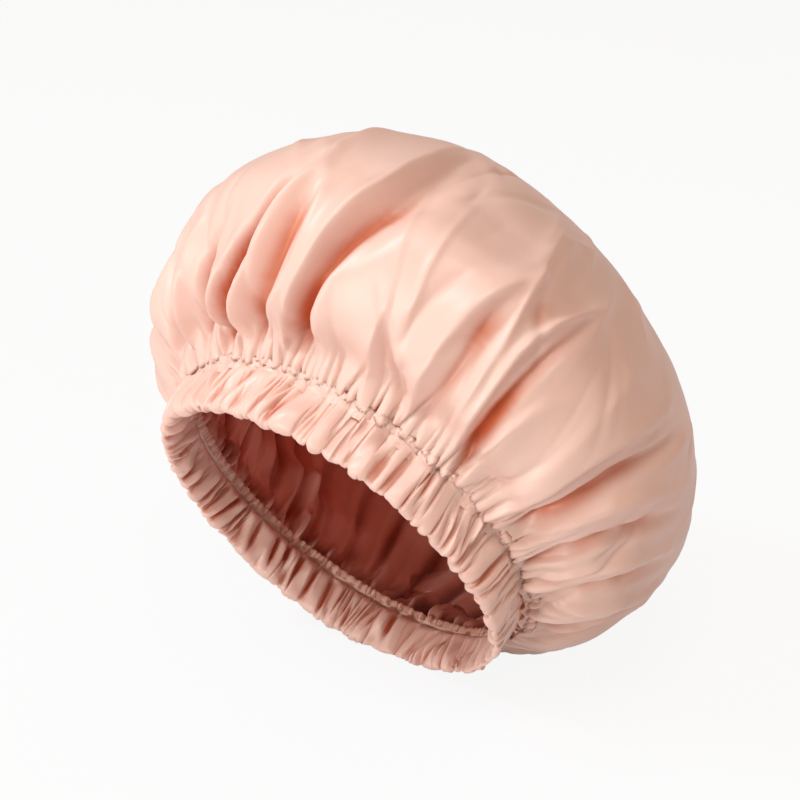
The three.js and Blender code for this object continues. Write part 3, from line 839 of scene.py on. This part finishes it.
def casing_cloth(columns, rows):
    radii, ups, arcs = casing_section(rows)
    angles = turned(columns)
    rise, wide = arcs[:, None], radii[:, None]
    base = from_mouth(wide * np.cos(angles), wide * np.sin(angles), ups[:, None])
    full = arcs[-1]
    needle_at = full - NEEDLE_IN
    rim = arcs[np.argmin(ups)]
    to_outer = smooth((rise - rim) / 6 + 0.5)
    inner = casing_face(arcs, columns, BOBBIN_IN, rim, tall=1.35, seed=71)
    outer = casing_face(arcs, columns, needle_at, rim, tall=1.0, seed=81)
    field = inner * (1 - to_outer) + outer * to_outer
    field *= 1 - 0.45 * bell(rise, rim, 3.5)
    frill = ramp_down(rise, BOBBIN_IN, 1.6)
    crinkled = uneven_wave(columns, 150, 0.1, 0.8, seed=91)[0] + 1.0
    crinkled = crinkled + 0.9 * drift(columns, swings=41, seed=92)
    field = field * (1 - frill) + crinkled * frill
    held = bell(rise, BOBBIN_IN, 2.2) + bell(rise - full + NEEDLE_IN, 0, 1.6)
    pressed = angle_share(angles, RIM_PRESSED) * smooth(rise / full)
    seed = (field - WALL_IN) * (1 - 0.75 * held) - 1.4 * pressed * (1 - held)
    pins = {}
    for arc, radius, up in (
        (needle_at, SEAM_RADIUS + 1.1, STITCH_UP),
        (BOBBIN_IN, SEAM_RADIUS - 1.6, BOBBIN_UP),
    ):
        pins[int(round(arc / full * (rows - 1)))] = seam_points(columns, radius, up, amount=0.8)
    lowest = np.where((rise > BOBBIN_IN) & (rise < needle_at), -WALL_IN, -1.6)
    lowest = lowest - 0.6 * bell(rise, rim, 2.2)
    highest = np.where(rise > needle_at + 0.3, 0.4, np.where(rise > rim, 4.4, 5.2))
    cloth = Cloth(arcs, base, seed, np.full((rows, 1), 0.22), pins, lowest, highest)
    cloth.rest_across *= 1.1
    cloth.slide = 1.6
    cloth.floor = 1.2
    return cloth


casing = settle(casing_cloth, CASING_LEVELS, bends=((0.003, 0.005), (0.0015, 0.004)))
rows, columns = casing.points.shape[:2]
along_strip = np.tile(turned(columns) * SEAM_RADIUS * STRIP_DRAWN * MM, rows)
strip_uv = np.stack([along_strip, np.repeat(casing.arcs * MM, columns)], axis=-1)
strip_faces = grid_faces(rows, columns)[:, ::-1]
casing_satin = mesh_object("casing_satin", casing.points.reshape(-1, 3), strip_faces, uv=strip_uv)
# Painted shade: the casing's colour turns darker orange in the creases between its puffs
paint_fold_shade(casing_satin, casing, reach=9, first_depth=0.5, full_depth=3.2)


# Threads
def tubes(name, lines, radius, sides=6):
    """One mesh of round threads, one along each line of points, with closed ends."""
    points, quads, ends = [], [], []
    offset = 0
    around = np.arange(sides)
    turn = around * math.tau / sides
    for line in lines:
        run = unit(np.gradient(line, axis=0))
        helper = np.where(np.abs(run @ UP)[:, None] > 0.8, SIDE, UP)
        right = unit(np.cross(run, helper))
        other = np.cross(run, right)
        thick = np.full(len(line), radius)
        thick[[0, -1]] *= 0.45
        aside = np.cos(turn)[None, :, None] * right[:, None]
        ring = thick[:, None, None] * (aside + np.sin(turn)[None, :, None] * other[:, None])
        points.append((line[:, None] + ring).reshape(-1, 3))
        points.append(line[[0, -1]])
        quads.append(grid_faces(len(line), sides, offset))
        middle = offset + len(line) * sides
        ends.append(fan_faces(offset + around, middle)[:, [1, 0, 2]])
        ends.append(fan_faces(middle - sides + around, middle + 1))
        offset = middle + 2
    return mesh_object(name, np.vstack(points), np.vstack(quads), np.vstack(ends))


def row_at(cloth, arc):
    """The closed row of points at an arc of the casing, with its outward directions."""
    row = int(round(arc / cloth.arcs[-1] * (len(cloth.arcs) - 1)))
    out = directions(cloth.points)[2]
    return softened(cloth.points[row], 1), unit(softened(out[row], 5))


def even_steps(line, outs, spacing):
    """Even steps along a closed row: points and their outward directions."""
    length = lengths_along(np.vstack([line, line[:1]]))
    steps = np.arange(0, length[-1], spacing)

    def at_steps(values):
        closed = np.vstack([values, values[:1]])
        return np.stack([np.interp(steps, length, closed[:, k]) for k in range(3)], axis=-1)

    return at_steps(line), unit(at_steps(outs))


def stitch_row(name, arc):
    points, outs = even_steps(*row_at(casing, arc), STITCH_LENGTH / STITCH_POINTS)
    lines = []
    for start in range(0, len(points) - STITCH_POINTS, STITCH_POINTS):
        part = slice(start, start + STITCH_POINTS)
        lines.append(points[part] + STITCH_LIFT[:, None] * outs[part])
    return tubes(name, lines, STITCH_RADIUS)


bobbin = stitch_row("bobbin_stitches", BOBBIN_IN)
needle = stitch_row("needle_stitches", casing.arcs[-1] - NEEDLE_IN)


def overlock():
    """Thread that zigzags over the raw edge of the casing's inner lip."""
    top, outs = even_steps(*row_at(casing, 0.0), OVERLOCK_STEP)
    lower = row_at(casing, OVERLOCK_DEEP)[0]
    share = np.linspace(0, len(lower), len(top), endpoint=False)
    low = lower[np.floor(share).astype(int) % len(lower)]
    past_edge = 0.2 * unit(top - low)
    middle = (low + top) / 2 + 0.45 * outs
    over_edge = top + 0.25 * outs + past_edge
    behind_edge = top - 0.25 * outs + past_edge
    path = np.stack([low + 0.3 * outs, middle, over_edge, behind_edge], axis=1).reshape(-1, 3)
    return tubes("hem_overlock", [path], OVERLOCK_RADIUS, sides=5)


hem = overlock()


# Materials
def linear(red, green, blue):
    def one(value):
        value /= 255
        return value / 12.92 if value <= 0.04045 else ((value + 0.055) / 1.055) ** 2.4

    return one(red), one(green), one(blue), 1.0


class Nodes:
    """The nodes of a material or of the world."""

    def __init__(self, owner, shader="Principled BSDF", output="Material Output"):
        owner.use_nodes = True
        self.owner = owner
        self.tree = owner.node_tree
        self.shader = self.tree.nodes[shader]
        self.output = self.tree.nodes[output]

    def feed(self, node, inputs):
        """Gives each named input of a node a value, or links it to another node's output."""
        for key, value in inputs.items():
            if isinstance(value, bpy.types.NodeSocket):
                self.tree.links.new(value, node.inputs[key])
            else:
                node.inputs[key].default_value = value
        return node

    def add(self, kind, inputs=None, **settings):
        node = self.tree.nodes.new("ShaderNode" + kind)
        for key, value in settings.items():
            setattr(node, key, value)
        return self.feed(node, inputs or {})

    def mix(self, factor, first, second):
        inputs = {"Factor": factor, "A": first, "B": second}
        return self.add("Mix", inputs, data_type="RGBA").outputs["Result"]

    def blend(self, share, first, second):
        return self.add("MixShader", {0: share, 1: first.outputs[0], 2: second.outputs[0]})

    def bump(self, height, strength, distance, **under):
        inputs = {"Height": height, "Strength": strength, "Distance": distance, **under}
        return self.add("Bump", inputs).outputs[0]

    def show(self, shader):
        self.tree.links.new(shader.outputs[0], self.output.inputs["Surface"])
        return self.owner


def satin(name, colour, deep, painted_shade_colour, glow, glow_share, roughness):
    """Thin woven satin: soft gloss, a fine weave, faint crinkles, light coming through, and painted
    shade that darkens its colour in deep narrow folds.
    """
    n = Nodes(bpy.data.materials.new(name))
    cut = n.add("UVMap", uv_map="cut").outputs["UV"]
    patch = n.add("TexNoise", {"Vector": cut, "Scale": 38.0, "Detail": 3.0, "Roughness": 0.55})
    tint = n.mix(patch.outputs["Fac"], colour, deep)
    painted_shade = n.add("Attribute", attribute_name="painted_shade").outputs["Fac"]
    threads = {"Vector": cut, "Scale": 1150.0}
    warp = n.add("TexWave", threads, bands_direction="X").outputs["Fac"]
    weft = n.add("TexWave", threads, bands_direction="Y").outputs["Fac"]
    weave = n.add("Math", {0: warp, 1: weft}, operation="MULTIPLY")
    crinkle = n.add("TexNoise", {"Vector": cut, "Scale": 160.0, "Detail": 4.0, "Roughness": 0.6})
    fine = n.bump(weave.outputs[0], 0.06, 0.00006)
    rough = n.bump(crinkle.outputs["Fac"], 0.25, 0.0004, Normal=fine)
    gloss = {
        # Base colour: the cloth's own colour, darkened toward a painted shade colour where the fold
        # mask marks deep narrow folds
        "Base Color": n.mix(painted_shade, tint, painted_shade_colour),
        "Roughness": roughness,
        "Specular IOR Level": 0.6,
        "Sheen Weight": 0.2,
        "Sheen Roughness": 0.4,
        "Normal": rough,
    }
    n.feed(n.shader, gloss)
    through = n.add("BsdfTranslucent", {"Color": glow, "Normal": rough})
    return n.show(n.blend(glow_share, n.shader, through))


def matte(n, pattern, first, second, roughness, strength, distance):
    """A plain surface whose colour and relief both follow one pattern."""
    relief = n.bump(pattern, strength, distance)
    colour = n.mix(pattern, first, second)
    n.feed(n.shader, {"Base Color": colour, "Roughness": roughness, "Normal": relief})
    return n.owner


def thread(name, colour, deep):
    """Spun thread: matte, with plies that wind round it."""
    n = Nodes(bpy.data.materials.new(name))
    at = n.add("TexCoord").outputs["Object"]
    ply = n.add("TexNoise", {"Vector": at, "Scale": 2600.0, "Detail": 2.0}).outputs["Fac"]
    return matte(n, ply, deep, colour, roughness=0.8, strength=0.5, distance=0.0001)


def woven_elastic(name, colour, deep):
    """Braided elastic: pale ribs that run round the band, with dark gaps between."""
    n = Nodes(bpy.data.materials.new(name))
    at = n.add("TexCoord").outputs["Object"]
    ribs = n.add("TexVoronoi", {"Vector": at, "Scale": 900.0}).outputs["Distance"]
    return matte(n, ribs, colour, deep, roughness=0.85, strength=0.6, distance=0.0003)


SATIN = linear(252, 226, 214)
SATIN_DEEP = linear(250, 220, 206)
GLOW = linear(255, 140, 62)
# Painted shade: darker orange colours that the crown and casing take in their deep narrow folds,
# standing in for the shade there
CROWN_PAINTED_SHADE = linear(214, 118, 72)
CASING_PAINTED_SHADE = linear(208, 124, 92)
crown_material = satin("crown_satin", SATIN, SATIN_DEEP, CROWN_PAINTED_SHADE, GLOW, 0.24, roughness=0.4)
casing_material = satin("casing_satin", SATIN, SATIN_DEEP, CASING_PAINTED_SHADE, GLOW, 0.24, roughness=0.38)
# The lining's third colour is painted shade: the dark brown that its deep folds take
lining_material = satin(
    "lining_film",
    colour=linear(226, 176, 162),
    deep=linear(216, 164, 150),
    painted_shade_colour=linear(104, 54, 42),
    glow=linear(255, 128, 60),
    glow_share=0.2,
    roughness=0.34,
)
elastic_material = woven_elastic("woven_elastic", linear(244, 214, 200), linear(220, 180, 162))
pale_thread = thread("pale_thread", linear(248, 210, 192), linear(240, 192, 172))
hem_thread = thread("hem_thread", linear(252, 204, 186), linear(236, 178, 158))
white_thread = thread("white_thread", linear(240, 236, 228), linear(222, 214, 204))


def dress(piece, material, node):
    piece.data.materials.append(material)
    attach(piece, "root")
    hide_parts(node)


dress(crown_satin, crown_material, "crown_shell")
dress(lining_film, lining_material, "waterproof_lining")
dress(casing_satin, casing_material, "elastic_casing")
dress(needle, pale_thread, "casing_seam_needle_thread")
dress(bobbin, pale_thread, "casing_seam_bobbin_thread")
dress(hem, hem_thread, "hem_edge_overlock")


def recolour(node, material):
    carried = bpy.data.objects[node]
    carried.data.materials.clear()
    carried.data.materials.append(material)


recolour("elastic_band", elastic_material)
recolour("elastic_join_tack", white_thread)

# Camera, fitted to the mouth's ellipse and the crown's outline
CAMERA_TURN = math.radians(40.5)
CAMERA_RISE = math.radians(22.9)
CAMERA_AWAY = 900.0
PIXELS_A_MM = 2.558
SHIFT_RIGHT = 10.4
SHIFT_UP = -3.85
LOOK_UP = 70.0
FRAME_PIXELS = 800
LAMPS_AIM = (0, 0, 0.09)


def make_camera():
    turn, rise = CAMERA_TURN, CAMERA_RISE
    back = np.array([math.sin(turn) * math.cos(rise), -math.cos(turn) * math.cos(rise), math.sin(rise)])
    right = np.array([math.cos(turn), math.sin(turn), 0.0])
    above = np.cross(back, right)
    at = MOUTH + LOOK_UP * UP + CAMERA_AWAY * back - SHIFT_RIGHT * right - SHIFT_UP * above
    data = bpy.data.cameras.new("camera")
    data.sensor_width = 36
    data.angle = 2 * math.atan(FRAME_PIXELS / 2 / (PIXELS_A_MM * CAMERA_AWAY))
    data.clip_start = 0.01
    camera = bpy.data.objects.new("camera", data)
    facing = Matrix((right, above, back)).transposed().to_4x4()
    camera.matrix_world = Matrix.Translation(Vector(at * MM)) @ facing
    bpy.context.scene.collection.objects.link(camera)
    bpy.context.scene.camera = camera


make_camera()


# Floor, world and lamps
def make_floor():
    bpy.ops.mesh.primitive_plane_add(size=8)
    floor = bpy.context.object
    floor.name = "floor"
    n = Nodes(bpy.data.materials.new("pale_floor"))
    n.feed(n.shader, {"Base Color": (0.78, 0.8, 0.83, 1), "Roughness": 0.9})
    rays = n.add("LightPath").outputs
    seen = {0: rays["Is Camera Ray"], 1: rays["Is Glossy Ray"]}
    shown = n.add("Math", seen, operation="MAXIMUM").outputs[0]
    white = n.add("Emission", {"Color": (1, 1, 1, 1), "Strength": 1.0})
    pale = n.blend(0.9, n.shader, white)
    floor.data.materials.append(n.show(n.blend(shown, n.shader, pale)))


def make_world():
    world = bpy.data.worlds.new("world")
    bpy.context.scene.world = world
    n = Nodes(world, "Background", "World Output")
    n.feed(n.shader, {"Color": (1.0, 0.74, 0.54, 1), "Strength": 0.4})
    white = n.add("Background", {"Color": (1, 1, 1, 1), "Strength": 1.0})
    seen = n.add("LightPath").outputs["Is Camera Ray"]
    n.show(n.blend(seen, n.shader, white))


def area_lamp(name, at, size, power, colour):
    data = bpy.data.lights.new(name, "AREA")
    data.size = size
    data.energy = power
    data.color = colour
    lamp = bpy.data.objects.new(name, data)
    lamp.location = at
    aim = Vector(LAMPS_AIM) - lamp.location
    lamp.rotation_euler = aim.to_track_quat("-Z", "Y").to_euler()
    bpy.context.scene.collection.objects.link(lamp)


make_floor()
make_world()
area_lamp("key", at=(-0.8, -1.0, 1.65), size=0.45, power=18, colour=(0.95, 0.97, 1.06))
area_lamp("fill", at=(0.6, -0.7, 2.0), size=0.8, power=15, colour=(1.0, 0.96, 0.92))
area_lamp("front", at=(-0.1, -1.6, 0.3), size=0.3, power=10, colour=(1.0, 0.92, 0.86))

bpy.context.scene.view_settings.view_transform = "Standard"
